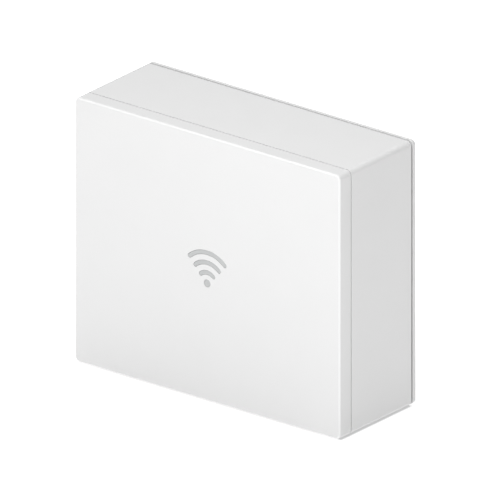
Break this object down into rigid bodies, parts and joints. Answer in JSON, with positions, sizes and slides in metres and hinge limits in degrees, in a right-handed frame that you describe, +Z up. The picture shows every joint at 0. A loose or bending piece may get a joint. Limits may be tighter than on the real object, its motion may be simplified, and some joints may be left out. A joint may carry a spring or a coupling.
{
  "type": "smart home hub",
  "caption": "Upright box-shaped wireless home hub with a lit front symbol, rear port bay, backup battery, rubber feet and lift-off wall bracket.",
  "frame": {"origin": "middle of the footprint, on the surface that the feet stand on", "axes": "+X to the right seen from the front, the front faces -Y, +Z up"},
  "size_m": [0.12, 0.044, 0.102],
  "materials": {
    "white_plastic": "satin white, fine moulded grain",
    "grey_plastic": "translucent light grey, smooth",
    "black_plastic": "black, finely textured",
    "circuit_board": "green solder mask over glass fibre",
    "grey_rubber": "soft grey rubber",
    "battery_cell": "blue shrink sleeve over a steel can",
    "steel": "nickel plated",
    "tinned_steel": "dull tin plate",
    "gold_contact": "gold plated",
    "aluminium": "bead blasted"
  },
  "bodies": {
    "wall_bracket": {"wall_bracket": "white_plastic"},
    "hub": {"antenna_lead_left": "black_plastic", "antenna_lead_right": "black_plastic", "antenna_left": "circuit_board", "antenna_right": "circuit_board", "battery_cell_1": "battery_cell", "battery_cell_2": "battery_cell", "battery_contact_1": "steel", "battery_contact_2": "steel", "battery_contact_3": "steel", "battery_contact_4": "steel", "battery_cradle": "black_plastic", "board_screw_1": "steel", "board_screw_2": "steel", "board_screw_3": "steel", "board_screw_4": "steel", "buzzer": "black_plastic", "capacitor_1": "black_plastic", "capacitor_2": "black_plastic", "capacitor_3": "black_plastic", "coin_cell": "steel", "coin_cell_holder": "black_plastic", "cover_screw_1": "steel", "cover_screw_2": "steel", "cover_screw_3": "steel", "cover_screw_4": "steel", "flash_chip": "black_plastic", "foot_1": "grey_rubber", "foot_2": "grey_rubber", "foot_3": "grey_rubber", "foot_4": "grey_rubber", "front_cover": "white_plastic", "heat_sink": "aluminium", "main_board": "circuit_board", "main_housing": "white_plastic", "main_radio_shield": "tinned_steel", "memory_chip": "black_plastic", "mesh_radio_board": "circuit_board", "mesh_radio_shield": "tinned_steel", "network_socket_body": "black_plastic", "network_socket_contacts": "gold_contact", "network_socket_shield": "tinned_steel", "network_transformer": "black_plastic", "pair_switch": "black_plastic", "power_inductor": "black_plastic", "power_socket": "black_plastic", "power_socket_pin": "steel", "power_switch": "tinned_steel", "processor": "black_plastic", "radio_board": "circuit_board", "radio_shield": "tinned_steel", "status_led": "white_plastic", "status_light_guide": "grey_plastic", "thermal_pad": "grey_rubber", "usb_socket_shell": "tinned_steel", "usb_socket_tongue": "black_plastic"},
    "pair_button": {"pair_button": "grey_plastic", "pair_switch_stem": "black_plastic"},
    "power_switch_knob": {"power_switch_knob": "black_plastic"}
  },
  "joints": [
    {"name": "hub_lift", "type": "slide", "parent": "wall_bracket", "child": "hub", "axis": [0, 0, 1], "range_m": [0, 0.008]},
    {"name": "pair_button_press", "type": "slide", "parent": "hub", "child": "pair_button", "axis": [0, -1, 0], "range_m": [0, 0.0006], "stiffness_N_per_m": 1500},
    {"name": "power_switch_slide", "type": "slide", "parent": "hub", "child": "power_switch_knob", "axis": [1, 0, 0], "range_m": [0, 0.003]}
  ]
}
